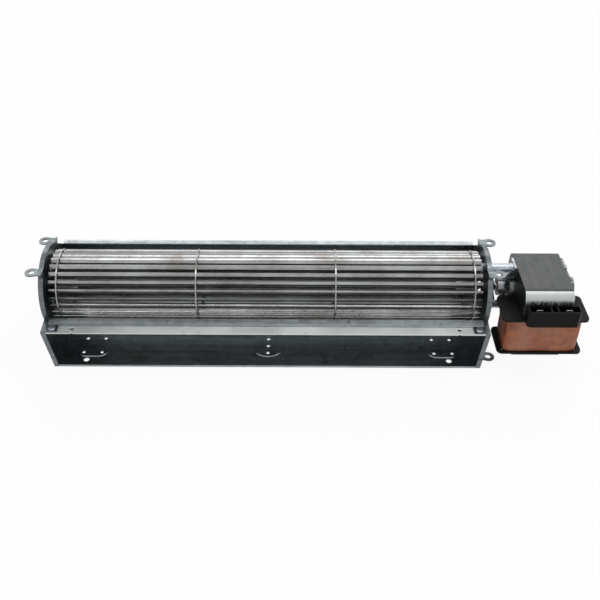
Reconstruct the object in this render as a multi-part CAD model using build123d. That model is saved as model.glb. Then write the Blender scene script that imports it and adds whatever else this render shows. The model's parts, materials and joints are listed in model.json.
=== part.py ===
from build123d import *
import math
import os

# Cross flow fan: a folded sheet housing, a long bladed impeller and a shaded-pole motor on one shaft.
# Millimetres. +X runs along the shaft towards the motor, the outlet faces -Y, and +Z is up.
# The origin is midway between the two fixing holes in the base, on its underside.
# Profiles are drawn in (y, z) measured from the shaft's axis, and extruded along X.

os.makedirs("parts", exist_ok=True)

# Housing
sheet = 1.0                 # thickness of every folded sheet
axis_z = 63.5               # shaft above the underside of the base
axis_y = 26.5               # shaft behind the fixing holes
plate_x = 180.5             # inner face of each end plate from the middle
rim_width = 4.0             # outward fold round each end plate
inlet_r = 35.0              # round part of each end plate
lip_y = -34.5               # front edge of the base
mouth_y = -48.0             # front edge of the duct's top
mouth_z = -14.0             # duct's top face
hem = 3.2                   # base edge folded back on itself
scroll_y = 3.0              # centre of the scroll's curve
scroll_top = (41.0, 14.0)   # where the scroll ends behind the impeller
top_flange = 4.5

# Holes and pressed pads in the base, measured from the lip and the end plates
fixing_inset = 22.0
fixing_r = 2.5
small_hole_r = 1.5
hole_sides = 12             # small pierced holes are drawn twelve-sided
row_spacing = 18.5
front_row = 8.8             # front row of small holes behind the fixing holes
column_insets = (18.0, 34.0)
pad_height = 0.8
pad_size = (27.0, 29.0)
pad_corner = 8.0
middle_pad_r = 14.0

# Duct top, with the tongue close to the impeller
crease_y = -38.5
tongue_rise = 1.8
tongue_gap = 4.0            # impeller to tongue
tongue_lip = 8.0
tongue_lean = 1.2           # foot of the tongue behind its crest
mouth_fold = 2.0
duct_hole_x = 159.5
duct_hole_r = 1.8
duct_hole_back = 5.5        # hole behind the duct's front edge
notch_r = 1.5

# Ears for mounting
ear_height = 29.0           # ears above the shaft
ear_spacing = 46.0
ear_reach = 9.0             # hole outside the plate's inner face
ear_r = 5.4
ear_hole_r = 2.5
low_ear = (-34.0, -50.0)    # single ear beside the outlet, right end

# Tabs and rivets that hold the sheets together
tab_reach = 9.5
tab_width = 8.0
back_tab_angles = (-8.0, -52.0)
rivet_r = 1.6
rivet_clearance = 0.05
rivet_head_r = 3.0
rivet_head = 1.0
rivet_seat = 0.1            # tail head clear of a curved sheet

# Impeller
impeller_r = 30.0
blade_count = 26
blade_end_gap = 2.5         # blades to each end plate
blade_inner_r = 24.0
blade_outer_angle = 26.0    # between the blade's tip and the rim's tangent
blade_sheet = 0.5
disc_inset = 6.0            # end disc from the blades' ends
disc_sheet = 1.0
rim_over_blade = 0.5        # metal left outside each slot
slot_clearance = 0.15
ring_under_blade = 1.5      # metal left inside each slot of the support rings
hub_r = 7.0
hub_length = 12.0

# Shafts and the left bearing
shaft_r = 3.0
shaft_chamfer = 0.5
shaft_past_boss = 1.0
running_clearance = 0.03
stub_end = 7.0              # stub shaft beyond the left plate's inner face
bush_r = 5.0
bush_length = 8.0
rubber_r = 11.0
rubber_length = 6.0
cup_flange_r = 18.0
cup_rivet_r = 15.0
cup_rivets = 3
cup_mouth_clearance = 0.5
cup_lip = 1.5               # opening of the cup past the bush

# Motor
motor_gap = 27.5            # plate's inner face to the laminations
stack_length = 39.0
stack_top = 24.5
stack_back = 19.0
stack_front = -44.0
stack_corner = 8.0
yoke_top = -35.0
yoke_height = 10.0
arm_bottom = 1.2
bore_r = 11.3
air_gap = 0.3
window_wall = 2.2           # metal between the bore and the coil's window
limb_front = -40.0
limb_width = 16.0
screw_offset = 19.0         # motor screws above and below the shaft
screw_r = 2.0
screw_clearance = 0.2
screw_head_r = 3.6
screw_head = 2.2
screw_slot = 0.9
nut_flats = 7.0
nut_thickness = 3.2
screw_past_nut = 0.8
spacer_r = 4.0

# Shading rings
shade_r = 13.0
shade_angles = (20.0, 50.0)
shade_wire = 1.4
shade_clearance = 0.1

# Coil
flange_overhang_x = 15.5    # bobbin flanges past the laminations
flange_front = 4.0          # bobbin flanges in front of the laminations
flange_back_gap = 0.8
flange_thickness = 1.8
flange_corner = 4.5
flange_hole_r = 1.2
flange_hole_inset = 4.5
bobbin_wall = 1.2
bobbin_clearance = 0.2
winding_inset = 6.0         # winding inside the flange's ends
winding_edge_inset = 1.2    # winding inside the flange's long sides
winding_corner = 7.0

# Terminal housing
housing_depth = 10.0
housing_height = 13.0
housing_side = 5.0          # housing past the laminations at the right
housing_inset = 2.0         # and inside them at the left
housing_corner = 2.0
housing_wall = 1.3
housing_gap = 0.3
divider_width = 7.0
divider_slot = 4.0
spade_width = 6.3
spade_thickness = 0.8
spade_height = 9.0
spade_point = 1.4
spade_hole_r = 0.8

# Motor bearing bridges
bridge_sheet = 2.0
bridge_width = 15.0
bridge_foot = 24.0          # half length over the feet
bridge_knee = 13.4          # foot's inner edge from the shaft
bridge_crown = 11.5         # half length of the raised middle
bridge_rise = 6.0
boss_r = 8.0
boss_length = 6.5
end_ring_r = 10.4
end_ring_inner_r = 6.0
end_ring_length = 3.4
washer_r = 5.0
washer_thickness = 0.6
washer_gap = 0.3            # washer to bush

# Cooling fan on the shaft between the housing and the motor
fan_r = 14.0
fan_hub_r = 5.5
fan_length = 8.0
fan_gap = 3.0               # fan from the right plate
fan_blades = 7
fan_sheet = 1.4
fan_twist = 35.0

# Places along the shaft
plate_out_x = plate_x + sheet
rim_x = plate_x + rim_width
blade_end = plate_x - blade_end_gap
disc_x = blade_end - disc_inset
support_x = disc_x / 3
stack_x = plate_x + motor_gap
stack_end = stack_x + stack_length
base_z = -axis_z


def section(x):
    """Plane across the shaft at x, with its own x along +Y and y along +Z."""
    return Plane(origin=(x, axis_y, axis_z), x_dir=(0, 1, 0), z_dir=(1, 0, 0))


def prism(profile, start, end):
    """Extrude a profile of the (y, z) plane between two places on the shaft."""
    return extrude(section(start) * profile, amount=end - start)


def tube(outer, inner, start, end, y=0.0, z=0.0):
    """Round tube or, with inner 0, a rod, parallel to the shaft."""
    ring = Circle(outer)
    if inner > 0:
        ring -= Circle(inner)
    return prism(Pos(y, z) * ring, start, end)


def strip(path, amount):
    """Close a path into a strip of sheet on its left side."""
    return make_face(offset(path, amount=amount, kind=Kind.ARC, side=Side.LEFT, closed=True))


def at(y, z, x=0.0):
    """A point given from the shaft's axis, in the part's frame."""
    return (x, axis_y + y, axis_z + z)


def polar(radius, degrees):
    return (radius * math.cos(math.radians(degrees)), radius * math.sin(math.radians(degrees)))


def save(shape, node):
    export_step(shape, f"parts/{node}.step")


# The scroll is one arc, tangent to the base and ending behind the impeller
scroll_dy = scroll_top[0] - scroll_y
scroll_dz = scroll_top[1] - base_z
scroll_r = (scroll_dy**2 + scroll_dz**2) / (2 * scroll_dz)
scroll_z = base_z + scroll_r
scroll_end_angle = math.degrees(math.atan2(scroll_top[1] - scroll_z, scroll_dy))


def scroll_point(degrees, radius=scroll_r):
    y, z = polar(radius, degrees)
    return (scroll_y + y, scroll_z + z)


def scroll_arc():
    return ThreePointArc((scroll_y, base_z), scroll_point(scroll_end_angle / 2 - 45), scroll_top)


# Sheet metal of the housing

def pressed_pad(outline):
    """Shape raised from the base and the hollow left under it."""
    raised = extrude(Plane.XY.offset(sheet) * outline, amount=pad_height, taper=30)
    hollow = extrude(Plane.XY * outline, amount=pad_height)
    return raised, hollow


def base_holes():
    """Small holes as (x, y), in two groups of four and a middle row of three."""
    rows = (front_row, front_row + row_spacing)
    holes = [(side * (plate_x - inset), y) for side in (-1, 1) for inset in column_insets for y in rows]
    return holes + [(0, front_row + step * row_spacing / 2) for step in range(3)]


def scroll_casing():
    flat = Line((lip_y, base_z), (scroll_y, base_z))
    flange = Line(scroll_top, (scroll_top[0] + top_flange, scroll_top[1]))
    sheet_profile = strip(Wire([flat, scroll_arc(), flange]), sheet)
    folded = Pos(lip_y + hem / 2, base_z + sheet * 1.5) * Rectangle(hem, sheet)
    casing = prism(sheet_profile, -plate_x, plate_x) + prism(folded, -plate_x, plate_x)
    pad_y = front_row + row_spacing / 2
    pad_inset = sum(column_insets) / 2
    pads = [Pos(side * (plate_x - pad_inset), pad_y) * RectangleRounded(*pad_size, pad_corner)
            for side in (-1, 1)]
    pads.append(Pos(0, pad_y) * Circle(middle_pad_r))
    for outline in pads:
        raised, hollow = pressed_pad(outline)
        casing = casing + raised - hollow
    small_hole = extrude(RegularPolygon(small_hole_r, hole_sides), amount=3 * sheet, both=True)
    for x, y in base_holes():
        casing -= Pos(x, y, 0) * small_hole
    for side in (-1, 1):
        casing -= Pos(side * (plate_x - fixing_inset), 0, 0) * Cylinder(fixing_r, 8 * sheet)
    for hole in back_rivet_planes():
        casing -= rivet_hole(hole)
    return casing


tongue_r = impeller_r + tongue_gap
tongue_z = mouth_z + tongue_rise
tongue_y = -math.sqrt(tongue_r**2 - tongue_z**2)


def tongue_plate():
    """Duct top: flat at the mouth, creased, then rising to the tongue and folded down along it."""
    lip_end = (tongue_y + tongue_lean, tongue_z - tongue_lip)
    path = Wire([
        Line(lip_end, (tongue_y, tongue_z)),
        Line((tongue_y, tongue_z), (crease_y, mouth_z)),
        Line((crease_y, mouth_z), (mouth_y, mouth_z)),
        Line((mouth_y, mouth_z), (mouth_y + sheet, mouth_z - mouth_fold)),
    ])
    plate = prism(strip(path, sheet), -plate_x, plate_x)
    for side in (-1, 1):
        x = side * duct_hole_x
        plate -= Pos(*at(mouth_y + duct_hole_back, mouth_z, x)) * Cylinder(duct_hole_r, 6 * sheet)
        plate -= Pos(*at(mouth_y, mouth_z, x)) * Cylinder(notch_r, 8 * sheet)
        plate -= rivet_hole(tongue_rivet_plane(side))
    return plate


def plate_outline():
    """Side of the housing: inlet circle, duct and scroll in one outline."""
    duct = Polygon((lip_y, base_z), (scroll_y, base_z), (scroll_y, 0), (tongue_y, tongue_z),
                   (mouth_y, mouth_z), align=None)
    scroll = make_face(Wire([
        Line((scroll_y, 0), (scroll_y, base_z)),
        scroll_arc(),
        Line(scroll_top, polar(inlet_r, 50)),
        Line(polar(inlet_r, 50), (scroll_y, 0)),
    ]))
    return Circle(inlet_r) + duct + scroll


def ear(side, y, z):
    """Horizontal ear bent outwards from the plate, on a short stem in the plate's plane."""
    hole_x = side * (plate_x + ear_reach)
    root_x = side * (plate_x + sheet / 2)
    tab = Pos(hole_x, 0) * Circle(ear_r)
    tab += Pos((hole_x + root_x) / 2, 0) * Rectangle(abs(hole_x - root_x) + sheet, 2 * ear_r - 2)
    tab -= Pos(hole_x, 0) * Circle(ear_hole_r)
    return extrude(Plane(at(y, z - sheet)) * tab, amount=sheet)


def ear_stem(y, z, foot_y, foot_z):
    """Strap of the plate from its rim up to the ear."""
    half = ear_r - 1
    return make_hull((Pos(y, z - sheet) * Rectangle(2 * half, 2 * sheet, align=(Align.CENTER, Align.MIN))
                      + Pos(foot_y, foot_z) * Circle(half)).edges())


def end_plate(side):
    """One end of the housing, folded outwards all round."""
    outline = plate_outline()
    stems = [(y, ear_height, *polar(inlet_r - ear_r, math.degrees(math.atan2(ear_height, y))))
             for y in (-ear_spacing / 2, ear_spacing / 2)]
    web = outline
    for stem in stems:
        web = web + ear_stem(*stem)
    for angle in back_tab_angles:
        web += Pos(*scroll_point(angle)) * Rot(0, 0, angle) * Rectangle(2 * sheet, tab_width)
    rim = outline - offset(outline, amount=-sheet)
    plate = prism(web, side * plate_x, side * plate_out_x) + prism(rim, side * plate_x, side * rim_x)
    for y, z, foot_y, foot_z in stems:
        plate += ear(side, y, z)
    if side > 0:
        plate += ear(side, *low_ear)
        plate -= tube(hub_r + 1, 0, plate_x - 1, plate_out_x + 1)
        for z in (-screw_offset, screw_offset):
            plate -= tube(screw_r + screw_clearance, 0, plate_x - 1, plate_out_x + 1, 0, z)
    else:
        plate -= tube(rubber_r + cup_mouth_clearance, 0, -plate_x + 1, -plate_out_x - 1)
        for place in cup_rivet_planes():
            plate -= rivet_hole(place)
    return plate + tabs(side)


def tabs(side):
    """Inward tabs: one on the duct's top, two on the back of the scroll."""
    reach = tab_reach + sheet
    middle_x = side * (plate_out_x - reach / 2)
    centre = mouth_y + sheet + tab_width / 2
    pieces = Pos(*at(centre, mouth_z + sheet / 2, middle_x)) * Box(reach, tab_width, sheet)
    pieces -= rivet_hole(tongue_rivet_plane(side))
    for angle in back_tab_angles:
        y, z = scroll_point(angle, scroll_r + sheet / 2)
        turned = Plane(at(y, z, middle_x), x_dir=(1, 0, 0), z_dir=(0, *polar(1, angle)))
        tab = turned * Box(reach, tab_width, sheet)
        pieces += tab - rivet_hole(back_rivet_plane(side, angle))
    return pieces


def rivet_hole(place):
    """Hole for a rivet, through both sheets."""
    return place * extrude(RegularPolygon(rivet_r + rivet_clearance, hole_sides), amount=3 * sheet, both=True)


def rivet_x(side):
    return side * (plate_x - tab_reach / 2)


def tongue_rivet_plane(side):
    return Plane(at(mouth_y + sheet + tab_width / 2, mouth_z, rivet_x(side)), z_dir=(0, 0, 1))


def back_rivet_plane(side, angle):
    y, z = scroll_point(angle)
    return Plane(at(y, z, rivet_x(side)), z_dir=(0, *polar(1, angle)))


def back_rivet_planes():
    return [back_rivet_plane(side, angle) for side in (-1, 1) for angle in back_tab_angles]


def cup_rivet_planes():
    turns = [polar(cup_rivet_r, 90 + index * 360 / cup_rivets) for index in range(cup_rivets)]
    return [Plane(at(y, z, -plate_out_x), z_dir=(-1, 0, 0)) for y, z in turns]


def rivet(place):
    """Rivet through two sheets that meet at the plane's origin: head, shank and upset tail, twelve-sided."""
    tail = -sheet - rivet_seat
    shank = Plane.XY.offset(tail) * RegularPolygon(rivet_r, hole_sides)
    body = extrude(shank, amount=sheet - tail)
    body += extrude(Plane.XY.offset(sheet) * RegularPolygon(rivet_head_r, hole_sides), amount=rivet_head,
                    taper=30)
    body += extrude(Plane.XY.offset(tail) * RegularPolygon(rivet_head_r, hole_sides), amount=-rivet_head)
    return place * body


def rivets():
    planes = [tongue_rivet_plane(side) for side in (-1, 1)] + back_rivet_planes() + cup_rivet_planes()
    return Compound([rivet(place).solid() for place in planes])


# Left bearing: a pressed cup outside the plate holds a rubber ring and a sintered bush

bearing_start = -plate_out_x
bearing_end = bearing_start - rubber_length
bush_middle = (bearing_start + bearing_end) / 2


def bearing_cup():
    cup = tube(cup_flange_r, rubber_r, bearing_start, bearing_start - sheet)
    cup += tube(rubber_r + sheet, rubber_r, bearing_start, bearing_end)
    cup += tube(rubber_r + sheet, bush_r + cup_lip, bearing_end, bearing_end - sheet)
    for place in cup_rivet_planes():
        cup -= rivet_hole(place)
    return cup


def rubber_ring():
    return tube(rubber_r, bush_r, bearing_start, bearing_end)


def left_bush():
    return tube(bush_r, shaft_r + running_clearance, bush_middle + bush_length / 2,
                bush_middle - bush_length / 2)


# Impeller

def blade_profile():
    """One curved blade: radial at its inner edge, leaning forward at its tip."""
    tip_r = impeller_r - rim_over_blade
    curve_r = (tip_r**2 - blade_inner_r**2) / (2 * tip_r * math.cos(math.radians(blade_outer_angle)))
    centre = Vector(blade_inner_r, curve_r)
    spread = math.hypot(centre.X, centre.Y)
    reach = math.acos((curve_r**2 + spread**2 - tip_r**2) / (2 * curve_r * spread))
    toward_axis = math.atan2(-centre.Y, -centre.X)
    end = toward_axis + reach
    start = -math.pi / 2
    middle = (start + end) / 2
    points = [centre + Vector(math.cos(a), math.sin(a)) * curve_r for a in (start, middle, end)]
    arc = ThreePointArc(*points)
    return make_face(offset(arc, amount=blade_sheet, side=Side.LEFT, closed=True))


def blade_angles():
    return [index * 360 / blade_count for index in range(blade_count)]


def impeller_blades():
    blade = prism(blade_profile(), -blade_end, blade_end)
    spin = Axis(at(0, 0), (1, 0, 0))
    return Compound([blade.rotate(spin, angle).solid() for angle in blade_angles()])


def blade_slot():
    """Straight-sided slot that a curved blade passes through."""
    box = blade_profile().bounding_box()
    centre = box.center()
    return Pos(centre.X, centre.Y) * Rectangle(box.size.X + 2 * slot_clearance,
                                               box.size.Y + 2 * slot_clearance)


def slotted(profile):
    slot = blade_slot()
    return profile - Sketch([Rot(0, 0, angle) * slot for angle in blade_angles()])


rim_r = impeller_r + rim_over_blade
support_ring_inner_r = blade_inner_r - ring_under_blade


def support_rings():
    ring = slotted(Circle(rim_r) - Circle(support_ring_inner_r))
    return Compound([prism(ring, x - disc_sheet / 2, x + disc_sheet / 2).solid()
                     for x in (-support_x, support_x)])


def end_disc(side, bore):
    """Slotted disc with a hub that points into the impeller."""
    face = side * disc_x
    inner = face - side * hub_length
    disc = prism(slotted(Circle(rim_r)), face, face - side * disc_sheet)
    disc += tube(hub_r, 0, face, inner)
    disc -= tube(bore, 0, face + side, inner - side)
    return disc


grub_x = disc_x - hub_length * 0.6


def right_end_disc():
    hole = Pos(*at(0, shaft_r + hub_r / 2, grub_x)) * Cylinder(screw_r, hub_r)
    return end_disc(1, shaft_r) - hole


def grub_screw():
    length = hub_r - shaft_r
    body = Pos(*at(0, shaft_r + length / 2, grub_x)) * Cylinder(screw_r, length)
    socket = Pos(*at(0, hub_r, grub_x)) * extrude(RegularPolygon(screw_r * 0.55, 6), amount=-length / 2)
    return body - socket


def stub_shaft():
    """Short shaft of the left disc, with a chamfered end."""
    rod = tube(shaft_r, 0, -plate_x - stub_end, -disc_x + hub_length)
    return chamfer(rod.edges().group_by(Axis.X)[0], shaft_chamfer)


def motor_shaft():
    end = stack_end + bridge_rise + boss_length + shaft_past_boss
    rod = tube(shaft_r, 0, disc_x - hub_length, end)
    return chamfer(rod.edges().group_by(Axis.X)[-1], shaft_chamfer)


def cooling_fan():
    start = plate_out_x + fan_gap
    fan = tube(fan_hub_r, 0, start, start + fan_length)
    vane = extrude(Rectangle(fan_length, fan_sheet), amount=fan_r - fan_hub_r + 1)
    for index in range(fan_blades):
        angle = index * 360 / fan_blades
        root = polar(fan_hub_r - 1, angle)
        frame = Plane(at(*root, start + fan_length / 2), x_dir=(1, 0, 0), z_dir=(0, *polar(1, angle)))
        fan += frame * Rot(0, 0, fan_twist) * vane
    band = tube(fan_r + 2, 0, start, start + fan_length)
    fan = fan & band
    return fan - tube(shaft_r, 0, start - 1, start + fan_length + 1)


# Motor

limb_back = limb_front + limb_width
window_back = -bore_r - window_wall
yoke_bottom = yoke_top - yoke_height
rotor_r = bore_r - air_gap


def stator_profile():
    """C-shaped lamination: top arm, pole round the bore and bottom yoke."""
    outline = Polygon((stack_back, stack_top), (stack_front, stack_top), (stack_front, arm_bottom),
                      (window_back, arm_bottom), (window_back, yoke_top), (limb_front, yoke_top),
                      (limb_front, yoke_bottom), (stack_back, yoke_bottom), align=None)
    back = outline.vertices().group_by(Axis.X)[-1]
    front_top = outline.vertices().group_by(Axis.Y)[-1].sort_by(Axis.X)[0]
    front_low = outline.vertices().group_by(Axis.Y)[0].sort_by(Axis.X)[0]
    outline = fillet([*back, front_top], stack_corner)
    outline = fillet(outline.vertices().sort_by_distance(front_low.center())[0], stack_corner / 2)
    outline -= Circle(bore_r)
    for z in (-screw_offset, screw_offset):
        outline -= Pos(0, z) * Circle(screw_r + screw_clearance)
    return outline


def shade_loop(turn, grow):
    """Closed copper strap through two slots beside the bore."""
    first, second = (Vector(*polar(shade_r, angle + turn)) for angle in shade_angles)
    middle = (first + second) / 2
    along = (second - first).normalized()
    span = (second - first).length
    wire = shade_wire + 2 * grow
    place = Plane(at(middle.X, middle.Y, (stack_x + stack_end) / 2), x_dir=(1, 0, 0),
                  z_dir=(0, -along.Y, along.X))
    outer = Rectangle(stack_length + 2 * shade_wire, span + wire)
    inner = Rectangle(stack_length, span - wire)
    return place * extrude(outer - inner, amount=wire / 2, both=True)


def stator_frame():
    frame = prism(stator_profile(), stack_x, stack_end)
    for turn in (0, 180):
        frame -= shade_loop(turn, shade_clearance)
    return frame


def stator_limb():
    profile = Pos((limb_front + limb_back) / 2, (arm_bottom + yoke_top) / 2)
    return prism(profile * Rectangle(limb_width, arm_bottom - yoke_top), stack_x, stack_end)


def shading_rings():
    return Compound([shade_loop(turn, 0).solid() for turn in (0, 180)])


# The coil is drawn from above, in (x, y), with y measured from the shaft's axis

stack_middle = (stack_x + stack_end) / 2
limb_middle = (limb_front + limb_back) / 2
flange_y0 = stack_front - flange_front
flange_y1 = window_back - flange_back_gap
flange_length = stack_length + 2 * flange_overhang_x
upper_flange = arm_bottom - bobbin_clearance - flange_thickness
lower_flange = yoke_top + bobbin_clearance


def level(z):
    """Horizontal plane at a height above the shaft, with its origin above the limb's middle."""
    return Plane(at(limb_middle, z, stack_middle))


def flange_profile():
    width = flange_y1 - flange_y0
    return Pos(0, (flange_y0 + flange_y1) / 2 - limb_middle) * RectangleRounded(
        flange_length, width, flange_corner)


def limb_hole():
    return Rectangle(stack_length + 2 * bobbin_clearance, limb_width + 2 * bobbin_clearance)


def bobbin_core():
    wall = 2 * (bobbin_clearance + bobbin_wall)
    return Rectangle(stack_length + wall, limb_width + wall)


housing_x0 = stack_x + housing_inset
housing_x1 = stack_end + housing_side
housing_y1 = stack_front - housing_gap
housing_y0 = housing_y1 - housing_depth
housing_floor = upper_flange
housing_top = upper_flange + housing_height + flange_thickness


def terminal_housing():
    """Open-topped box for two push-on terminals, moulded on the upper flange."""
    length = housing_x1 - housing_x0
    middle = (housing_x0 + housing_x1) / 2
    block = Plane(at((housing_y0 + housing_y1) / 2, housing_floor, middle))
    body = block * extrude(Rectangle(length, housing_depth), amount=housing_top - housing_floor)
    body = chamfer(body.edges().filter_by(Axis.Z).group_by(Axis.Y)[0], housing_corner)
    room = (length - divider_width - 2 * housing_wall) / 2
    deep = housing_top - housing_floor - flange_thickness
    for side in (-1, 1):
        x = middle + side * (divider_width + room) / 2
        well = Plane(at((housing_y0 + housing_y1) / 2, housing_top, x))
        body -= well * extrude(Rectangle(room, housing_depth - 2 * housing_wall), amount=-deep)
    slot = Plane(at((housing_y0 + housing_y1) / 2, housing_top, middle))
    body -= slot * extrude(Rectangle(divider_slot, housing_depth - 2 * housing_wall), amount=-deep * 0.6)
    return body


def coil_bobbin():
    core_height = upper_flange - lower_flange
    bobbin = extrude(level(lower_flange) * bobbin_core(), amount=core_height)
    holed = flange_profile()
    corners = [Pos(side * (flange_length / 2 - flange_hole_inset),
                   flange_y0 - limb_middle + flange_hole_inset) * Circle(flange_hole_r) for side in (-1, 1)]
    for corner in corners:
        holed = holed - corner
    bobbin += extrude(level(lower_flange) * holed, amount=flange_thickness)
    bobbin += extrude(level(upper_flange) * flange_profile(), amount=flange_thickness)
    bobbin += terminal_housing()
    through = extrude(level(lower_flange - 1) * limb_hole(), amount=core_height + flange_thickness + 2)
    return bobbin - through


def coil_winding():
    width = flange_y1 - flange_y0 - 2 * winding_edge_inset
    outer = Pos(0, (flange_y0 + flange_y1) / 2 - limb_middle) * RectangleRounded(
        flange_length - 2 * winding_inset, width, winding_corner)
    start = lower_flange + flange_thickness
    return extrude(level(start) * (outer - bobbin_core()), amount=upper_flange - start)


def spade_terminals():
    """Two push-on tabs, each with a pointed end and a hole, on an arm to the winding."""
    length = housing_x1 - housing_x0
    middle = (housing_x0 + housing_x1) / 2
    room = (length - divider_width - 2 * housing_wall) / 2
    floor = housing_floor + flange_thickness
    outline = Rectangle(spade_width, spade_height, align=(Align.CENTER, Align.MIN))
    outline = chamfer(outline.vertices().group_by(Axis.Y)[-1], spade_point)
    outline -= Pos(0, spade_height * 0.65) * Circle(spade_hole_r)
    blades = []
    for side in (-1, 1):
        x = middle + side * (divider_width + room) / 2
        place = Plane(at((housing_y0 + housing_y1) / 2, floor, x), x_dir=(1, 0, 0), z_dir=(0, -1, 0))
        blades.append((place * extrude(outline, amount=spade_thickness)).solid())
    return Compound(blades)


# Bearing bridges: hat-shaped straps with a boss, one at each end of the laminations

def bridge(face, out):
    """Strap from a lamination face, rising in direction out along the shaft."""
    def point(rise, z):
        return (face + out * rise, z)

    lower = [point(0, bridge_foot), point(0, bridge_knee), point(bridge_rise, bridge_crown)]
    upper = [point(bridge_rise + bridge_sheet, bridge_crown + 0.8),
             point(bridge_sheet, bridge_knee + 1.2), point(bridge_sheet, bridge_foot)]
    mirrored = [[(x, -z) for x, z in reversed(row)] for row in (lower, upper)]
    outline = Polygon(*lower, *mirrored[0], *mirrored[1], *upper, align=None)
    side_view = Plane(origin=(0, axis_y, axis_z), x_dir=(1, 0, 0), z_dir=(0, -1, 0))
    strap = side_view * extrude(outline, amount=bridge_width / 2, both=True)
    crown = face + out * bridge_rise
    strap += tube(boss_r, 0, crown, crown + out * boss_length)
    strap -= tube(bush_r, 0, crown - out, crown + out * (boss_length + 1))
    for z in (-screw_offset, screw_offset):
        strap -= tube(screw_r + screw_clearance, 0, face - out, face + out * 4 * bridge_sheet, 0, z)
    return strap


def motor_bush(face, out):
    crown = face + out * bridge_rise
    bush = tube(bush_r, shaft_r + running_clearance, crown, crown + out * boss_length)
    return bush.solid()


def motor_bushes():
    return Compound([motor_bush(stack_x, -1), motor_bush(stack_end, 1)])


def thrust_washers():
    """Fibre washers on the shaft between the rotor and each bush."""
    rings = []
    for face, out in ((stack_x, -1), (stack_end, 1)):
        crown = face + out * bridge_rise
        rings.append(tube(washer_r, shaft_r, crown - out * washer_gap,
                          crown - out * (washer_gap + washer_thickness)).solid())
    return Compound(rings)


def rotor_core():
    return tube(rotor_r, shaft_r, stack_x, stack_end)


def rotor_cage():
    """Cast end rings of the rotor."""
    rings = [tube(end_ring_r, end_ring_inner_r, face, face + out * end_ring_length).solid()
             for face, out in ((stack_x, -1), (stack_end, 1))]
    return Compound(rings)


def spacers():
    inner_face = stack_x - bridge_sheet
    return Compound([tube(spacer_r, screw_r + screw_clearance, plate_out_x, inner_face, 0, z).solid()
                     for z in (-screw_offset, screw_offset)])


def motor_screws():
    head_x = stack_end + bridge_sheet
    tip_x = plate_x - nut_thickness - screw_past_nut
    screws = []
    for z in (-screw_offset, screw_offset):
        screw = tube(screw_r, 0, tip_x, head_x, 0, z)
        head = tube(screw_head_r, 0, head_x, head_x + screw_head, 0, z)
        head = chamfer(head.edges().group_by(Axis.X)[-1], screw_head * 0.35)
        slot = Pos(*at(0, z, head_x + screw_head)) * Box(screw_head, 2 * screw_head_r, screw_slot)
        screws.append((screw + head - slot).solid())
    return Compound(screws)


def motor_nuts():
    hexagon = RegularPolygon(nut_flats / 2, 6, major_radius=False) - Circle(screw_r)
    return Compound([prism(Pos(0, z) * hexagon, plate_x - nut_thickness, plate_x).solid()
                     for z in (-screw_offset, screw_offset)])


save(scroll_casing(), "scroll_casing")
save(tongue_plate(), "tongue_plate")
save(end_plate(-1), "left_end_plate")
save(end_plate(1), "right_end_plate")
save(rivets(), "rivets")
save(bearing_cup(), "bearing_cup")
save(rubber_ring(), "rubber_ring")
save(left_bush(), "left_bush")
save(impeller_blades(), "impeller_blades")
save(support_rings(), "support_rings")
save(end_disc(-1, shaft_r), "left_end_disc")
save(right_end_disc(), "right_end_disc")
save(grub_screw(), "grub_screw")
save(stub_shaft(), "stub_shaft")
save(motor_shaft(), "motor_shaft")
save(cooling_fan(), "cooling_fan")
save(rotor_core(), "rotor_core")
save(rotor_cage(), "rotor_cage")
save(thrust_washers(), "thrust_washers")
save(stator_frame(), "stator_frame")
save(stator_limb(), "stator_limb")
save(shading_rings(), "shading_rings")
save(coil_bobbin(), "coil_bobbin")
save(coil_winding(), "coil_winding")
save(spade_terminals(), "spade_terminals")
save(bridge(stack_x, -1), "inner_bridge")
save(bridge(stack_end, 1), "outer_bridge")
save(motor_bushes(), "motor_bushes")
save(spacers(), "motor_spacers")
save(motor_screws(), "motor_screws")
save(motor_nuts(), "motor_nuts")
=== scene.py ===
import bpy
import bmesh
import json
import math
from mathutils import Matrix, Vector


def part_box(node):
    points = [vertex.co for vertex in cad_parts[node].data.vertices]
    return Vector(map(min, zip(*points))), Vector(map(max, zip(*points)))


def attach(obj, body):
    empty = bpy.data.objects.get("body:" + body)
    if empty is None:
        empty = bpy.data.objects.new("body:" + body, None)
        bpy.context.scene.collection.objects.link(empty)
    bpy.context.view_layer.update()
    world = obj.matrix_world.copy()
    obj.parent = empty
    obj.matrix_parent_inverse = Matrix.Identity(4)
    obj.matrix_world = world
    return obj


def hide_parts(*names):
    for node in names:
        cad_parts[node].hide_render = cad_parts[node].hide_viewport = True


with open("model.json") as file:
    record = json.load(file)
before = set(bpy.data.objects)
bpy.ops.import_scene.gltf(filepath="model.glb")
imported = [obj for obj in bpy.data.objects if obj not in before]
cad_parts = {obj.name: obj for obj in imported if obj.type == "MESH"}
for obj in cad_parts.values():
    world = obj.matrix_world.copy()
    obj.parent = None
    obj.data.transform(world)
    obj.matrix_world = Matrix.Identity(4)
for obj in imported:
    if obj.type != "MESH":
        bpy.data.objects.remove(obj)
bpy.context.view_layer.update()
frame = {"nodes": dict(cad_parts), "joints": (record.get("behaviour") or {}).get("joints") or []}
nodes = frame["nodes"]
print("frame loaded:", len(nodes), "nodes")

mm = 0.001
shaft = Vector(frame["joints"][0]["pos_m"])  # a point on the shaft, midway between the end plates


def toLinear(hexColour):
    channels = [int(hexColour[i:i + 2], 16) / 255 for i in (1, 3, 5)]
    linear = [c / 12.92 if c <= 0.04045 else ((c + 0.055) / 1.055) ** 2.4 for c in channels]
    return (*linear, 1.0)


def perSize(size):
    return 1 / (size * mm)  # texture scale at which one feature measures size millimetres


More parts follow.
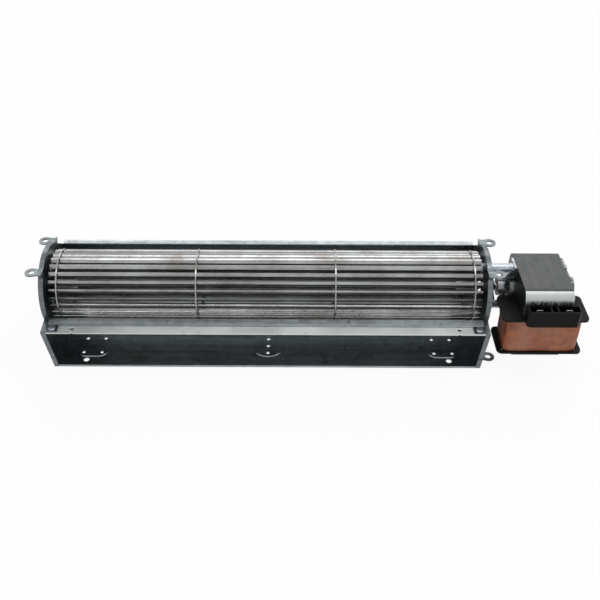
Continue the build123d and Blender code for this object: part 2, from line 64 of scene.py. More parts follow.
# adds a node, sets its sockets or properties by name, and links its inputs by name or index
def addNode(tree, kind, settings=None, links=None):
    node = tree.nodes.new(kind)
    for name, value in (settings or {}).items():
        if isinstance(name, int) or name in node.inputs:
            node.inputs[name].default_value = value
        else:
            setattr(node, name, value)
    for name, source in (links or {}).items():
        tree.links.new(source, node.inputs[name])
    return node


def startFinish(name, values):
    material = bpy.data.materials.new(name)
    material.use_nodes = True
    tree = material.node_tree
    shader = tree.nodes["Principled BSDF"]
    for socket, value in values.items():
        shader.inputs[socket].default_value = value
    place = addNode(tree, "ShaderNodeTexCoord").outputs["Object"]
    return material, tree, shader, place


def plugFinish(tree, shader, colour, roughness, normal):
    tree.links.new(colour.outputs[2], shader.inputs["Base Color"])
    tree.links.new(roughness.outputs[0], shader.inputs["Roughness"])
    tree.links.new(normal.outputs[0], shader.inputs["Normal"])


# ---- finishes

# galvanised steel: hot-dipped zinc, so dull crystals that catch the light differently, and fine rolling lines
# the end plates and the outer bridge take a darker copy of these colours, painted shade; the duct's top has
# painted light in front of its crease, a pale band drawn as white zinc bloom
galvanised = {
    "galvanisedSteel": {"dark": "#7c8285", "light": "#a2a8aa"},
    "galvanisedEndPlateShaded": {"dark": "#565b5e", "light": "#7b8183"},
    "galvanisedDuctTopLit": {"dark": "#7c8285", "light": "#a2a8aa", "paintedPale": True},
}
# sizes of the features in millimetres; rolling is along X, Y and Z
zincCoat = {"crystal": 5.0, "crystalTone": 0.18, "bend": 4.0, "bendSize": 9.0, "grain": 0.7,
            "rolling": (90.0, 2.2, 2.2), "roughness": (0.27, 0.40), "bump": 0.010}
# painted light on the duct's top, a pale band drawn as white zinc bloom: how far it reaches behind the front
# edge, and how its share grows along X
paintedPaleBand = {"colour": "#eef4f2", "width": 9.2, "edge": 0.4, "patch": 45.0, "patchLeast": 0.7,
             "along": (-180.0, 20.0), "share": (0.6, 0.9)}


# covers the zinc with the painted pale band, drawn as white bloom, and gives back the colour and how metallic
# it still is
def addPaintedPaleBand(tree, place, zincColour):
    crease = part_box("tongue_plate")[0][1] + paintedPaleBand["width"] * mm
    parts = addNode(tree, "ShaderNodeSeparateXYZ", links={0: place})
    front = addNode(tree, "ShaderNodeMapRange", {"From Min": crease,
                                                 "From Max": crease - paintedPaleBand["edge"] * mm},
                    {"Value": parts.outputs[1]})
    along = addNode(tree, "ShaderNodeMapRange", {"From Min": paintedPaleBand["along"][0] * mm,
                                                 "From Max": paintedPaleBand["along"][1] * mm,
                                                 "To Min": paintedPaleBand["share"][0],
                                                 "To Max": paintedPaleBand["share"][1]},
                    {"Value": parts.outputs[0]})
    patches = addNode(tree, "ShaderNodeTexNoise", {"Scale": perSize(paintedPaleBand["patch"]), "Detail": 3.0},
                      {"Vector": place})
    patchy = addNode(tree, "ShaderNodeMapRange", {"From Min": 0.3, "From Max": 0.6,
                                                  "To Min": paintedPaleBand["patchLeast"]},
                     {"Value": patches.outputs[0]})
    share = addNode(tree, "ShaderNodeMath", {"operation": "MULTIPLY"}, {0: along.outputs[0],
                                                                       1: patchy.outputs[0]})
    paleShare = addNode(tree, "ShaderNodeMath", {"operation": "MULTIPLY"},
                    {0: share.outputs[0], 1: front.outputs[0]})
    colour = addNode(tree, "ShaderNodeMix", {"data_type": "RGBA", 7: toLinear(paintedPaleBand["colour"])},
                     {0: paleShare.outputs[0], 6: zincColour.outputs[2]})
    metallic = addNode(tree, "ShaderNodeMath", {"operation": "SUBTRACT", 0: 1.0}, {1: paleShare.outputs[0]})
    return colour, metallic


def galvanisedSteel(name):
    look = galvanised[name]
    material, tree, shader, place = startFinish(name, {"Metallic": 1.0})
    wander = addNode(tree, "ShaderNodeTexNoise", {"Scale": perSize(zincCoat["bendSize"]), "Detail": 2.0},
                     {"Vector": place})
    bend = (zincCoat["bend"] * mm,) * 3
    bent = addNode(tree, "ShaderNodeVectorMath", {"operation": "MULTIPLY_ADD", 1: bend},
                   {0: wander.outputs[1], 2: place})
    crystals = addNode(tree, "ShaderNodeTexVoronoi", {"Scale": perSize(zincCoat["crystal"])},
                       {"Vector": bent.outputs[0]})
    cell = addNode(tree, "ShaderNodeSeparateColor", links={0: crystals.outputs["Color"]})
    grain = addNode(tree, "ShaderNodeTexNoise", {"Scale": perSize(zincCoat["grain"]), "Detail": 4.0},
                    {"Vector": place})
    drawn = addNode(tree, "ShaderNodeMapping",
                    {"Scale": tuple(perSize(size) for size in zincCoat["rolling"])}, {"Vector": place})
    rolled = addNode(tree, "ShaderNodeTexNoise", {"Scale": 1.0, "Detail": 3.0}, {"Vector": drawn.outputs[0]})
    shade = addNode(tree, "ShaderNodeMath", {"operation": "MULTIPLY_ADD", 1: zincCoat["crystalTone"]},
                    {0: cell.outputs[0], 2: rolled.outputs[0]})
    tone = addNode(tree, "ShaderNodeMapRange", {"From Min": 0.38, "From Max": 0.85},
                   {"Value": shade.outputs[0]})
    colour = addNode(tree, "ShaderNodeMix", {"data_type": "RGBA", 6: toLinear(look["dark"]),
                                             7: toLinear(look["light"])}, {0: tone.outputs[0]})
    dull = addNode(tree, "ShaderNodeMapRange", {"To Min": zincCoat["roughness"][0],
                                                "To Max": zincCoat["roughness"][1]},
                   {"Value": cell.outputs[1]})
    relief = addNode(tree, "ShaderNodeMath", {"operation": "ADD"},
                     {0: grain.outputs[0], 1: rolled.outputs[0]})
    bump = addNode(tree, "ShaderNodeBump", {"Strength": 0.5, "Distance": zincCoat["bump"] * mm},
                   {"Height": relief.outputs[0]})
    # the duct's top takes the painted light band, drawn as white zinc bloom
    if look.get("paintedPale"):
        colour, metallic = addPaintedPaleBand(tree, place, colour)
        tree.links.new(metallic.outputs[0], shader.inputs["Metallic"])
    plugFinish(tree, shader, colour, dull, bump)
    return material


# metals told apart by colour, gloss, size of their mottling and direction of their tool marks
# marks are the feature sizes along X, Y and Z in millimetres: a long X with a short Y and Z is a line along X
metals = {
    # bright rolled aluminium strip: rolling lines along the blades, clean and glossy
    "rolledAluminium": {"dark": "#7d7a77", "light": "#a9abac", "mottle": 30, "marks": (120, 1.2, 1.2),
                        "roughness": (0.18, 0.30), "bump": 0.003},
    # zinc-plated fasteners: faintly blue, slightly cloudy
    "zincPlatedSteel": {"dark": "#8d949c", "light": "#c0c6cc", "mottle": 2.5, "marks": (0.6, 0.6, 0.6),
                        "roughness": (0.24, 0.42), "bump": 0.008},
    # ground shaft steel: fine rings round the shaft
    "groundSteel": {"dark": "#8f9295", "light": "#bcbfc2", "mottle": 6, "marks": (0.25, 4, 4),
                    "roughness": (0.16, 0.30), "bump": 0.004},
    # sintered bronze: porous, oily and dull
    "sinteredBronze": {"dark": "#6e5029", "light": "#a98349", "mottle": 1.2, "marks": (0.3, 0.3, 0.3),
                       "roughness": (0.38, 0.55), "bump": 0.02},
    # drawn copper strap: heat-darkened patches
    "drawnCopper": {"dark": "#7c3f26", "light": "#c07a55", "mottle": 4, "marks": (9, 0.5, 0.5),
                    "roughness": (0.26, 0.45), "bump": 0.008},
    # tin-plated brass tabs: soft and satin
    "tinnedBrass": {"dark": "#a5a59c", "light": "#d3d3cb", "mottle": 2, "marks": (0.4, 0.4, 6),
                    "roughness": (0.26, 0.40), "bump": 0.006},
    # die-cast aluminium end rings: matt, finely pitted
    "castAluminium": {"dark": "#85888b", "light": "#aeb1b4", "mottle": 2, "marks": (0.4, 0.4, 0.4),
                      "roughness": (0.42, 0.60), "bump": 0.03},
}


def bareMetal(name):
    look = metals[name]
    material, tree, shader, place = startFinish(name, {"Metallic": 1.0})
    mottle = addNode(tree, "ShaderNodeTexNoise", {"Scale": perSize(look["mottle"]), "Detail": 5.0,
                                                  "Roughness": 0.6}, {"Vector": place})
    drawn = addNode(tree, "ShaderNodeMapping", {"Scale": tuple(perSize(size) for size in look["marks"])},
                    {"Vector": place})
    lines = addNode(tree, "ShaderNodeTexNoise", {"Scale": 1.0, "Detail": 3.0}, {"Vector": drawn.outputs[0]})
    both = addNode(tree, "ShaderNodeMath", {"operation": "MULTIPLY_ADD", 1: 0.5},
                   {0: lines.outputs[0], 2: mottle.outputs[0]})
    tone = addNode(tree, "ShaderNodeMapRange", {"From Min": 0.55, "From Max": 0.95},
                   {"Value": both.outputs[0]})
    colour = addNode(tree, "ShaderNodeMix", {"data_type": "RGBA", 6: toLinear(look["dark"]),
                                             7: toLinear(look["light"])}, {0: tone.outputs[0]})
    dull = addNode(tree, "ShaderNodeMapRange", {"From Min": 0.3, "From Max": 0.7,
                                                "To Min": look["roughness"][1],
                                                "To Max": look["roughness"][0]}, {"Value": mottle.outputs[0]})
    bump = addNode(tree, "ShaderNodeBump", {"Strength": 0.6, "Distance": look["bump"] * mm},
                   {"Height": lines.outputs[0]})
    plugFinish(tree, shader, colour, dull, bump)
    return material


# varnished laminations: a stack of dark steel sheets, each edge a little different, with a painted highlight
# along the stack's rounded front corner, drawn as a bright band; each sheet is drawn 0.8 mm thick, so that the
# lines show
lamination = {"sheet": 0.8, "dark": "#323435", "light": "#4e5050", "varnish": "#403730", "seam": "#2b2c2d",
              "speckle": 1.1, "blotch": 5.0, "ownTone": 0.12, "bump": 0.06}
# the painted highlight band: how far it reaches over the top and down the front, and how its edges fade, in
# millimetres
paintedHighlightBand = {"colour": "#c6cbca", "top": 5.6, "topFade": 0.8, "front": 8.5, "frontFade": 2.5, "ragged": 3.5}


def varnishedLaminations():
    low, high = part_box("stator_frame")
    material, tree, shader, place = startFinish("varnishedLaminations", {"Metallic": 0.85,
                                                                        "Coat Weight": 0.25,
                                                                        "Coat Roughness": 0.3})
    parts = addNode(tree, "ShaderNodeSeparateXYZ", links={0: place})
    stack = addNode(tree, "ShaderNodeMath", {"operation": "MULTIPLY", 1: perSize(lamination["sheet"])},
                    {0: parts.outputs[0]})
    number = addNode(tree, "ShaderNodeMath", {"operation": "FLOOR"}, {0: stack.outputs[0]})
    within = addNode(tree, "ShaderNodeMath", {"operation": "FRACT"}, {0: stack.outputs[0]})
    own = addNode(tree, "ShaderNodeTexWhiteNoise", {"noise_dimensions": "1D"}, {"W": number.outputs[0]})
    speckle = addNode(tree, "ShaderNodeTexNoise", {"Scale": perSize(lamination["speckle"]), "Detail": 4.0,
                                                   "Roughness": 0.7}, {"Vector": place})
    joint = addNode(tree, "ShaderNodeMath", {"operation": "PINGPONG", 1: 0.5}, {0: within.outputs[0]})
    seam = addNode(tree, "ShaderNodeMapRange", {"From Min": 0.04, "From Max": 0.17},
                   {"Value": joint.outputs[0]})
    blotch = addNode(tree, "ShaderNodeTexNoise", {"Scale": perSize(lamination["blotch"]), "Detail": 6.0,
                                                  "Roughness": 0.65}, {"Vector": place})
    shade = addNode(tree, "ShaderNodeMath", {"operation": "MULTIPLY_ADD", 1: lamination["ownTone"]},
                    {0: own.outputs[0], 2: speckle.outputs[0]})
    tone = addNode(tree, "ShaderNodeMapRange", {"From Min": 0.38, "From Max": 0.74},
                   {"Value": shade.outputs[0]})
    steel = addNode(tree, "ShaderNodeMix", {"data_type": "RGBA", 6: toLinear(lamination["dark"]),
                                            7: toLinear(lamination["light"])}, {0: tone.outputs[0]})
    pool = addNode(tree, "ShaderNodeMapRange", {"From Min": 0.54, "From Max": 0.68, "To Max": 0.5},
                   {"Value": blotch.outputs[0]})
    brown = addNode(tree, "ShaderNodeMix", {"data_type": "RGBA", 7: toLinear(lamination["varnish"])},
                    {0: pool.outputs[0], 6: steel.outputs[2]})
    # the painted highlight starts straight on the top face, and ends a little lower or higher on each sheet
    behind = low[1] + paintedHighlightBand["top"] * mm
    upper = addNode(tree, "ShaderNodeMapRange", {"From Min": behind,
                                                 "From Max": behind - paintedHighlightBand["topFade"] * mm},
                    {"Value": parts.outputs[1]})
    ragged = addNode(tree, "ShaderNodeMath", {"operation": "MULTIPLY_ADD", 1: paintedHighlightBand["ragged"] * mm},
                     {0: own.outputs[0], 2: parts.outputs[2]})
    bottom = high[2] - paintedHighlightBand["front"] * mm
    lower = addNode(tree, "ShaderNodeMapRange", {"From Min": bottom,
                                                 "From Max": bottom + paintedHighlightBand["frontFade"] * mm},
                    {"Value": ragged.outputs[0]})
    highlightMask = addNode(tree, "ShaderNodeMath", {"operation": "MULTIPLY"}, {0: upper.outputs[0],
                                                                        1: lower.outputs[0]})
    # mixes in the pale colour of the painted highlight on the rounded corner
    highlighted = addNode(tree, "ShaderNodeMix", {"data_type": "RGBA", 7: toLinear(paintedHighlightBand["colour"])},
                   {0: highlightMask.outputs[0], 6: brown.outputs[2]})
    lined = addNode(tree, "ShaderNodeMix", {"data_type": "RGBA", 6: toLinear(lamination["seam"])},
                    {0: seam.outputs[0], 7: highlighted.outputs[2]})
    dull = addNode(tree, "ShaderNodeMapRange", {"From Min": 0.3, "From Max": 0.7,
                                                "To Min": 0.55, "To Max": 0.35},
                   {"Value": blotch.outputs[0]})
    bump = addNode(tree, "ShaderNodeBump", {"Strength": 0.7, "Distance": lamination["bump"] * mm},
                   {"Height": seam.outputs[0]})
    plugFinish(tree, shader, lined, dull, bump)
    return material


# mouldings, rubber and fibre: two close colours, a fine grain and a low sheen that varies a little
mouldings = {
    # moulded glass-filled polyamide: near black, with faint flow marks and little gloss
    "mouldedPolyamide": {"dark": "#09090a", "light": "#161718", "mottle": 9, "grain": 0.5,
                         "roughness": (0.38, 0.55), "bump": 0.025},
    # black moulded fan: smoother and blacker
    "mouldedBlackNylon": {"dark": "#111214", "light": "#222427", "mottle": 6, "grain": 0.4,
                          "roughness": (0.32, 0.46), "bump": 0.015},
    # vulcanised rubber: matt with a dusty bloom
    "vulcanisedRubber": {"dark": "#151516", "light": "#2c2b2a", "mottle": 3, "grain": 0.3,
                         "roughness": (0.62, 0.85), "bump": 0.03},
    # pressed vulcanised fibre: red-brown and fibrous
    "vulcanisedFibre": {"dark": "#5a2318", "light": "#83402e", "mottle": 1.5, "grain": 0.25,
                        "roughness": (0.60, 0.80), "bump": 0.03},
}


def moulding(name):
    look = mouldings[name]
    material, tree, shader, place = startFinish(name, {"Specular IOR Level": 0.1})
    mottle = addNode(tree, "ShaderNodeTexNoise", {"Scale": perSize(look["mottle"]), "Detail": 6.0},
                     {"Vector": place})
    grain = addNode(tree, "ShaderNodeTexNoise", {"Scale": perSize(look["grain"]), "Detail": 3.0},
                    {"Vector": place})
    tone = addNode(tree, "ShaderNodeMapRange", {"From Min": 0.35, "From Max": 0.68},
                   {"Value": mottle.outputs[0]})
    colour = addNode(tree, "ShaderNodeMix", {"data_type": "RGBA", 6: toLinear(look["dark"]),
                                             7: toLinear(look["light"])}, {0: tone.outputs[0]})
    dull = addNode(tree, "ShaderNodeMapRange", {"From Min": 0.3, "From Max": 0.7,
                                                "To Min": look["roughness"][0],
                                                "To Max": look["roughness"][1]}, {"Value": mottle.outputs[0]})
    bump = addNode(tree, "ShaderNodeBump", {"Strength": 0.5, "Distance": look["bump"] * mm},
                   {"Height": grain.outputs[0]})
    plugFinish(tree, shader, colour, dull, bump)
    return material


# varnished copper winding: red-brown wire under uneven varnish, milky where it ran thick
varnish = {"wire": "#9e5429", "deep": "#783a1c", "milky": "#946a52", "blotch": 6.0,
           "runs": (22.0, 22.0, 40.0), "grain": 0.8, "roughness": (0.30, 0.50), "bump": 0.04}


def varnishedWinding():
    material, tree, shader, place = startFinish("varnishedCopperWinding", {"Metallic": 0.25,
                                                                          "Coat Weight": 0.35,
                                                                          "Coat Roughness": 0.28})
    blotch = addNode(tree, "ShaderNodeTexNoise", {"Scale": perSize(varnish["blotch"]), "Detail": 6.0,
                                                  "Roughness": 0.62}, {"Vector": place})
    runs = addNode(tree, "ShaderNodeMapping", {"Scale": tuple(perSize(size) for size in varnish["runs"])},
                   {"Vector": place})
    drips = addNode(tree, "ShaderNodeTexNoise", {"Scale": 1.0, "Detail": 4.0}, {"Vector": runs.outputs[0]})
    fine = addNode(tree, "ShaderNodeTexNoise", {"Scale": perSize(varnish["grain"]), "Detail": 3.0},
                   {"Vector": place})
    deep = addNode(tree, "ShaderNodeMapRange", {"From Min": 0.38, "From Max": 0.6},
                   {"Value": blotch.outputs[0]})
    wire = addNode(tree, "ShaderNodeMix", {"data_type": "RGBA", 6: toLinear(varnish["deep"]),
                                           7: toLinear(varnish["wire"])}, {0: deep.outputs[0]})
    thick = addNode(tree, "ShaderNodeMapRange", {"From Min": 0.45, "From Max": 0.7, "To Max": 0.7},
                    {"Value": drips.outputs[0]})
    colour = addNode(tree, "ShaderNodeMix", {"data_type": "RGBA", 7: toLinear(varnish["milky"])},
                     {0: thick.outputs[0], 6: wire.outputs[2]})
    dull = addNode(tree, "ShaderNodeMapRange", {"From Min": 0.3, "From Max": 0.7,
                                                "To Min": varnish["roughness"][0],
                                                "To Max": varnish["roughness"][1]},
                   {"Value": blotch.outputs[0]})
    bump = addNode(tree, "ShaderNodeBump", {"Strength": 0.5, "Distance": varnish["bump"] * mm},
                   {"Height": fine.outputs[0]})
    plugFinish(tree, shader, colour, dull, bump)
    return material


steelSheet, shadedEndPlate, litDuctTop = (galvanisedSteel(name) for name in galvanised)
laminated = varnishedLaminations()
woundWire = varnishedWinding()
aluminium, zinc, shaftSteel, bronze, copper, tin, cast = (bareMetal(name) for name in metals)
polyamide, nylon, rubber, fibre = (moulding(name) for name in mouldings)

finishOf = {
    steelSheet: ["scroll_casing", "bearing_cup", "inner_bridge"],
    # end plates and outer bridge: the darker copy of the zinc, painted shade
    shadedEndPlate: ["left_end_plate", "right_end_plate", "outer_bridge"],
    litDuctTop: ["tongue_plate"],
    aluminium: ["impeller_blades", "support_rings", "left_end_disc", "right_end_disc"],
    zinc: ["rivets", "motor_screws", "motor_nuts", "motor_spacers", "grub_screw"],
    shaftSteel: ["stub_shaft", "motor_shaft"],
    bronze: ["left_bush", "motor_bushes"],
    copper: ["shading_rings"],
    tin: ["spade_terminals"],
    cast: ["rotor_cage"],
    laminated: ["stator_frame", "stator_limb", "rotor_core"],
    woundWire: ["coil_winding"],
    polyamide: ["coil_bobbin"],
    nylon: ["cooling_fan"],
    rubber: ["rubber_ring"],
    fibre: ["thrust_washers"],
}
for material, names in finishOf.items():
    for name in names:
        for slot in nodes[name].material_slots:
            slot.material = material
        if not nodes[name].material_slots:
            nodes[name].data.materials.append(material)
print("finishes given:", sum(len(names) for names in finishOf.values()), "nodes")


# ---- pieces

def deselectAll():
    if bpy.context.object and bpy.context.object.mode != "OBJECT":
        bpy.ops.object.mode_set(mode="OBJECT")
    bpy.ops.object.select_all(action="DESELECT")


# leaves selected the vertices that a test on their place picks out
def selectVertices(test):
    mesh = bmesh.from_edit_mesh(bpy.context.object.data)
    bpy.ops.mesh.select_mode(type="VERT")
    bpy.ops.mesh.select_all(action="DESELECT")
    for vertex in mesh.verts:
        vertex.select = bool(test(vertex.co))
    mesh.select_flush(True)
    bmesh.update_edit_mesh(bpy.context.object.data)


# a copy of a piece with its mesh moved by a matrix
def placedCopy(piece, matrix):
    copy = piece.copy()
    copy.data = piece.data.copy()
    bpy.context.collection.objects.link(copy)
    copy.data.transform(matrix)
    return copy


def joinPieces(pieces):
    deselectAll()
    for piece in pieces:
        piece.select_set(True)
    bpy.context.view_layer.objects.active = pieces[0]
    bpy.ops.object.join()
    return bpy.context.object


def finishPiece(piece, name, body, material):
    deselectAll()
    piece.name = name
    piece.data.name = name
    piece.select_set(True)
    bpy.context.view_layer.objects.active = piece
    bpy.ops.object.transform_apply(location=True, rotation=True, scale=True)
    bpy.ops.object.mode_set(mode="EDIT")
    bpy.ops.mesh.select_all(action="SELECT")
    bpy.ops.mesh.remove_doubles(threshold=0.001 * mm)
    bpy.ops.mesh.normals_make_consistent(inside=False)
    bpy.ops.object.mode_set(mode="OBJECT")
    piece.data.materials.clear()
    piece.data.materials.append(material)
    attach(piece, body)


# the winding: layers of wire round the bobbin, a little fuller at mid height and at both ends along X
coil = {"wire": 0.8, "groove": 0.16, "corner": 7.0, "cornerSegments": 7, "wall": 7.0, "crown": 0.35,
        "fuller": 2.4, "smoothUnder": 50}


def makeWinding():
    low, high = (Vector(corner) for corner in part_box("coil_winding"))
    size, middle = high - low + Vector((2 * coil["fuller"] * mm, 0, 0)), (low + high) / 2
    rows = round(size.z / (coil["wire"] * mm))
    step = size.z / rows / 2
    deselectAll()
    bpy.ops.mesh.primitive_plane_add(size=1, location=(middle.x, middle.y, low.z))
    piece = bpy.context.object
    piece.scale = (size.x - 2 * coil["crown"] * mm, size.y - 2 * coil["crown"] * mm, 1)
    bpy.ops.object.transform_apply(location=True, rotation=True, scale=True)
    bpy.ops.object.mode_set(mode="EDIT")
    bpy.ops.mesh.select_all(action="SELECT")
    bpy.ops.mesh.bevel(offset=coil["corner"] * mm, segments=coil["cornerSegments"], affect="VERTICES")
    bpy.ops.mesh.select_all(action="SELECT")
    bpy.ops.mesh.inset(thickness=coil["wall"] * mm)
    bpy.ops.mesh.delete(type="FACE")  # the opening round the bobbin's core
    bpy.ops.mesh.select_all(action="SELECT")
    for level in range(2 * rows):
        bpy.ops.mesh.extrude_region_move(TRANSFORM_OT_translate={"value": (0, 0, step)})
    within = (coil["wall"] - 1) * mm  # the outer wall's vertices lie nearer to the outside than this
    inner = Vector((size.x / 2 - within, size.y / 2 - within))
    for level in range(2 * rows + 1):
        height = low.z + level * step
        bulge = coil["crown"] * mm * math.sin(math.pi * level / (2 * rows))
        out = bulge if level % 2 else bulge - coil["groove"] * mm
        selectVertices(lambda co: abs(co.z - height) < step / 4
                       and (abs(co.x - middle.x) > inner.x or abs(co.y - middle.y) > inner.y))
        bpy.ops.transform.resize(value=(1 + 2 * out / size.x, 1 + 2 * out / size.y, 1),
                                 center_override=(middle.x, middle.y, height))
    finishPiece(piece, "coilWinding", "housing", woundWire)
    bpy.ops.object.shade_smooth_by_angle(angle=math.radians(coil["smoothUnder"]))
    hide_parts("coil_winding")


# blades: each is one arc, radial at its inner edge and leaning forward, the way the impeller turns, at its tip
# tipAngle lies between the tip and the rim's tangent; onSlot and onBlade turn a pattern by a share of a pitch
blade = {"count": 26, "innerRadius": 23.3, "tipRadius": 29.5, "tipAngle": 20.0, "sheet": 0.5, "chords": 12,
         "onSlot": 0.620, "smoothUnder": 40}


def bladeTurn(share):
    return Matrix.Rotation(2 * math.pi * share / blade["count"], 4, "X")


def makeBlades():
    low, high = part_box("impeller_blades")
    inner, tip = blade["innerRadius"] * mm, blade["tipRadius"] * mm
    curve = (tip**2 - inner**2) / (2 * tip * math.cos(math.radians(blade["tipAngle"])))
    centre = math.hypot(inner, curve)
    root = math.pi / 2
    end = math.atan2(curve, -inner) - math.acos((curve**2 + centre**2 - tip**2) / (2 * curve * centre))
    deselectAll()
    bpy.ops.mesh.primitive_grid_add(x_subdivisions=1, y_subdivisions=blade["chords"], size=2)
    first = bpy.context.object
    for vertex in first.data.vertices:
        angle = root + (end - root) * (vertex.co.y + 1) / 2
        vertex.co = (high[0] if vertex.co.x > 0 else low[0], inner + curve * math.cos(angle),
                     curve * math.sin(angle) - curve)
    thicken = first.modifiers.new("sheet", "SOLIDIFY")
    thicken.thickness = blade["sheet"] * mm
    thicken.offset = 0
    bpy.ops.object.modifier_apply(modifier=thicken.name)
    place = Matrix.Translation(Vector((0, shaft.y, shaft.z)))
    copies = [placedCopy(first, place @ bladeTurn(number + blade["onSlot"]))
              for number in range(blade["count"])]
    bpy.data.objects.remove(first)
    piece = joinPieces(copies)
    finishPiece(piece, "impellerBlades", "rotor", aluminium)
    bpy.ops.object.shade_smooth_by_angle(angle=math.radians(blade["smoothUnder"]))
    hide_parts("impeller_blades")


# stake marks: where a blade is locked to a ring, a pinched nib of metal stands across it
stake = {"length": 1.3, "width": 1.4, "height": 0.5, "crest": (0.35, 0.6, 1), "edge": 0.08, "radius": 28.6,
         "onBlade": 0.685, "ringThickness": 1.0}


def makeStakes():
    leftRing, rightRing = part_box("support_rings")
    thick = stake["ringThickness"] * mm
    faces = [(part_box("left_end_disc")[0][0], -1), (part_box("right_end_disc")[1][0], 1),
             (leftRing[0], -1), (leftRing[0] + thick, 1), (rightRing[0] - thick, -1), (rightRing[0], 1)]
    deselectAll()
    bpy.ops.mesh.primitive_cube_add(size=1)
    nib = bpy.context.object
    nib.scale = (stake["length"] * mm, stake["width"] * mm, stake["height"] * mm)
    bpy.ops.object.transform_apply(scale=True)
    bpy.ops.object.mode_set(mode="EDIT")
    selectVertices(lambda co: co.z > 0)
    bpy.ops.transform.resize(value=stake["crest"], center_override=(0, 0, 0))
    bpy.ops.mesh.select_all(action="SELECT")
    bpy.ops.mesh.bevel(offset=stake["edge"] * mm, segments=1, affect="EDGES")
    bpy.ops.object.mode_set(mode="OBJECT")
    copies = []
    for x, outward in faces:
        lift = Matrix.Translation(Vector((outward * stake["length"] / 2 * mm, 0, stake["radius"] * mm)))
        place = Matrix.Translation(Vector((x, shaft.y, shaft.z)))
        copies += [placedCopy(nib, place @ bladeTurn(number + stake["onBlade"]) @ lift)
                   for number in range(blade["count"])]
    bpy.data.objects.remove(nib)
    finishPiece(joinPieces(copies), "ringStakes", "rotor", aluminium)


# push-on tabs: bevelled tips, a latch hole, and a folded foot that grips the wire's end
tab = {"width": 6.3, "thick": 0.8, "belowRim": 0.8, "tip": 1.5, "hole": 0.85, "holeDrop": 4.0,
       "holeSides": 20, "drill": 4.0, "foot": 2.6}


def makeTabs():
    low, high = (Vector(corner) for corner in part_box("spade_terminals"))
    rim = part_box("coil_bobbin")[1][2]
    top = rim - tab["belowRim"] * mm
    depth = (low.y + high.y) / 2
    near = 0.1 * mm
    spades = []
    for x in (low.x + tab["width"] / 2 * mm, high.x - tab["width"] / 2 * mm):
        deselectAll()
        bpy.ops.mesh.primitive_cube_add(size=1, location=(x, depth, (low.z + top) / 2))
        spade = bpy.context.object
        spade.scale = (tab["width"] * mm, tab["thick"] * mm, top - low.z)
        bpy.ops.object.transform_apply(location=True, rotation=True, scale=True)
        bpy.ops.object.mode_set(mode="EDIT")
        selectVertices(lambda co: co.z > top - near)
        mesh = bmesh.from_edit_mesh(spade.data)
        for edge in mesh.edges:
            edge.select = edge.select and abs(edge.verts[0].co.y - edge.verts[1].co.y) > near
        bpy.ops.mesh.select_mode(type="EDGE")
        bpy.ops.mesh.bevel(offset=tab["tip"] * mm, segments=2, affect="EDGES")
        selectVertices(lambda co: co.z < low.z + near)
        bpy.ops.mesh.extrude_region_move(TRANSFORM_OT_translate={"value": (0, 0, 0)})
        bpy.ops.transform.resize(value=(1.0, tab["foot"], 1), center_override=(x, depth, low.z))
        bpy.ops.object.mode_set(mode="OBJECT")
        deselectAll()
        bpy.ops.mesh.primitive_cylinder_add(vertices=tab["holeSides"], radius=tab["hole"] * mm,
                                            depth=tab["drill"] * mm,
                                            location=(x, depth, top - tab["holeDrop"] * mm),
                                            rotation=(math.pi / 2, 0, 0))
        drill = bpy.context.object
        deselectAll()
        spade.select_set(True)
        bpy.context.view_layer.objects.active = spade
        hole = spade.modifiers.new("latchHole", "BOOLEAN")
        hole.object = drill
        bpy.ops.object.modifier_apply(modifier=hole.name)
        bpy.data.objects.remove(drill)
        spades.append(spade)
    piece = joinPieces(spades)
    finishPiece(piece, "spadeTabs", "housing", tin)
    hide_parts("spade_terminals")


makeWinding()
print("winding made")
makeBlades()
print("blades made")
makeStakes()
print("stake marks made")
makeTabs()
print("terminal tabs made")


# ---- camera, floor and light

# angles in degrees, places and lengths in metres, lens and sensor in millimetres
view = {"focal": 48.72, "sensor": 36, "elevation": 38.0, "roll": 0.25, "aim": (0.028, 0.0265, 0.0635),
        "distance": 0.693, "above": 0.0128, "nearest": 0.01}


def setCamera():
    camera = bpy.data.objects.new("camera", bpy.data.cameras.new("camera"))
    bpy.context.collection.objects.link(camera)
    camera.data.lens = view["focal"]
    camera.data.sensor_width = view["sensor"]
    tilt = math.radians(90 - view["elevation"])
    turn = Matrix.Rotation(tilt, 4, "X") @ Matrix.Rotation(math.radians(view["roll"]), 4, "Z")
    back = turn @ Vector((0, -view["above"], view["distance"], 1))
    camera.matrix_world = Matrix.Translation(Vector(view["aim"]) + back.to_3d()) @ turn
    camera.data.clip_start = view["nearest"]
    bpy.context.scene.camera = camera


# world and floor are white to the camera and in reflections, and light dull surfaces at a plain level
room = {"worldLight": 0.55, "floorSize": 6.0, "floorColour": "#f4f4f4", "floorGlow": 0.93}


def seenDirectly(tree):
    path = addNode(tree, "ShaderNodeLightPath")
    seen = addNode(tree, "ShaderNodeMath", {"operation": "MAXIMUM"},
                   {0: path.outputs["Is Camera Ray"], 1: path.outputs["Is Glossy Ray"]})
    return addNode(tree, "ShaderNodeMath", {"operation": "MAXIMUM"},
                   {0: seen.outputs[0], 1: path.outputs["Is Transmission Ray"]}).outputs[0]


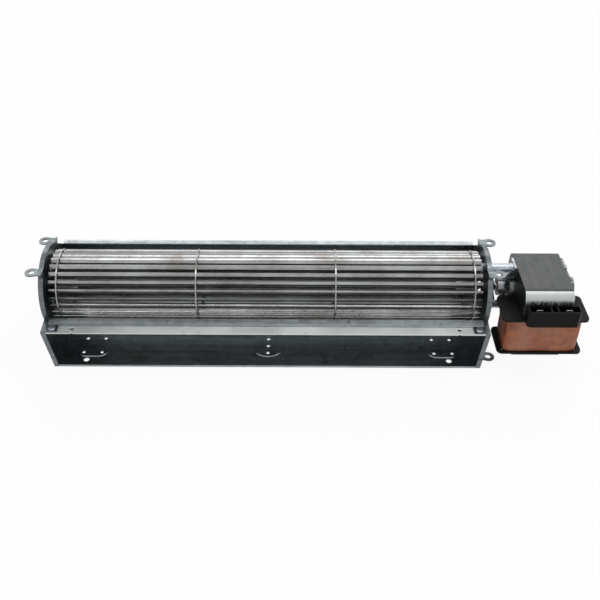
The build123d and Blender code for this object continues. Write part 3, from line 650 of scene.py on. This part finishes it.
def setRoom():
    world = bpy.data.worlds.new("studio")
    bpy.context.scene.world = world
    world.use_nodes = True
    tree = world.node_tree
    level = addNode(tree, "ShaderNodeMapRange", {"To Min": room["worldLight"], "To Max": 1.0},
                    {"Value": seenDirectly(tree)})
    background = tree.nodes["Background"]
    background.inputs["Color"].default_value = (1, 1, 1, 1)
    tree.links.new(level.outputs[0], background.inputs["Strength"])
    deselectAll()
    bpy.ops.mesh.primitive_plane_add(size=room["floorSize"], location=(0, 0, 0))
    floor = bpy.context.object
    floor.name = "floor"
    material = bpy.data.materials.new("paleFloor")
    material.use_nodes = True
    tree = material.node_tree
    tree.nodes.remove(tree.nodes["Principled BSDF"])
    matt = addNode(tree, "ShaderNodeBsdfDiffuse", {"Color": toLinear(room["floorColour"])})
    glow = addNode(tree, "ShaderNodeEmission", {"Color": (1, 1, 1, 1), "Strength": 1.0})
    share = addNode(tree, "ShaderNodeMath", {"operation": "MULTIPLY", 1: room["floorGlow"]},
                    {0: seenDirectly(tree)})
    mixed = addNode(tree, "ShaderNodeMixShader", links={0: share.outputs[0], 1: matt.outputs[0],
                                                        2: glow.outputs[0]})
    tree.links.new(mixed.outputs[0], tree.nodes["Material Output"].inputs["Surface"])
    floor.data.materials.append(material)


# soft boxes: place and size in metres, power in watts; each faces a point on the shaft near the fan's middle
lampAim = Vector((0.03, shaft.y, shaft.z))
lamps = {
    "behind": {"place": (0.1, 0.95, 0.80), "size": (1.5, 0.40), "power": 4.0},
    "overhead": {"place": (0.1, -0.15, 1.25), "size": (1.3, 0.35), "power": 5.0},
    "right": {"place": (1.1, -0.5, 0.6), "size": (0.5, 0.5), "power": 1.0},
}


def setLamps():
    for name, lamp in lamps.items():
        light = bpy.data.lights.new(name, "AREA")
        light.shape = "RECTANGLE"
        light.size, light.size_y = lamp["size"]
        light.energy = lamp["power"]
        holder = bpy.data.objects.new(name, light)
        bpy.context.collection.objects.link(holder)
        holder.location = lamp["place"]
        holder.rotation_euler = (lampAim - Vector(lamp["place"])).to_track_quat("-Z", "Y").to_euler()


setCamera()
setRoom()
setLamps()
bpy.context.scene.view_settings.view_transform = "Standard"
print("camera, floor and light set")
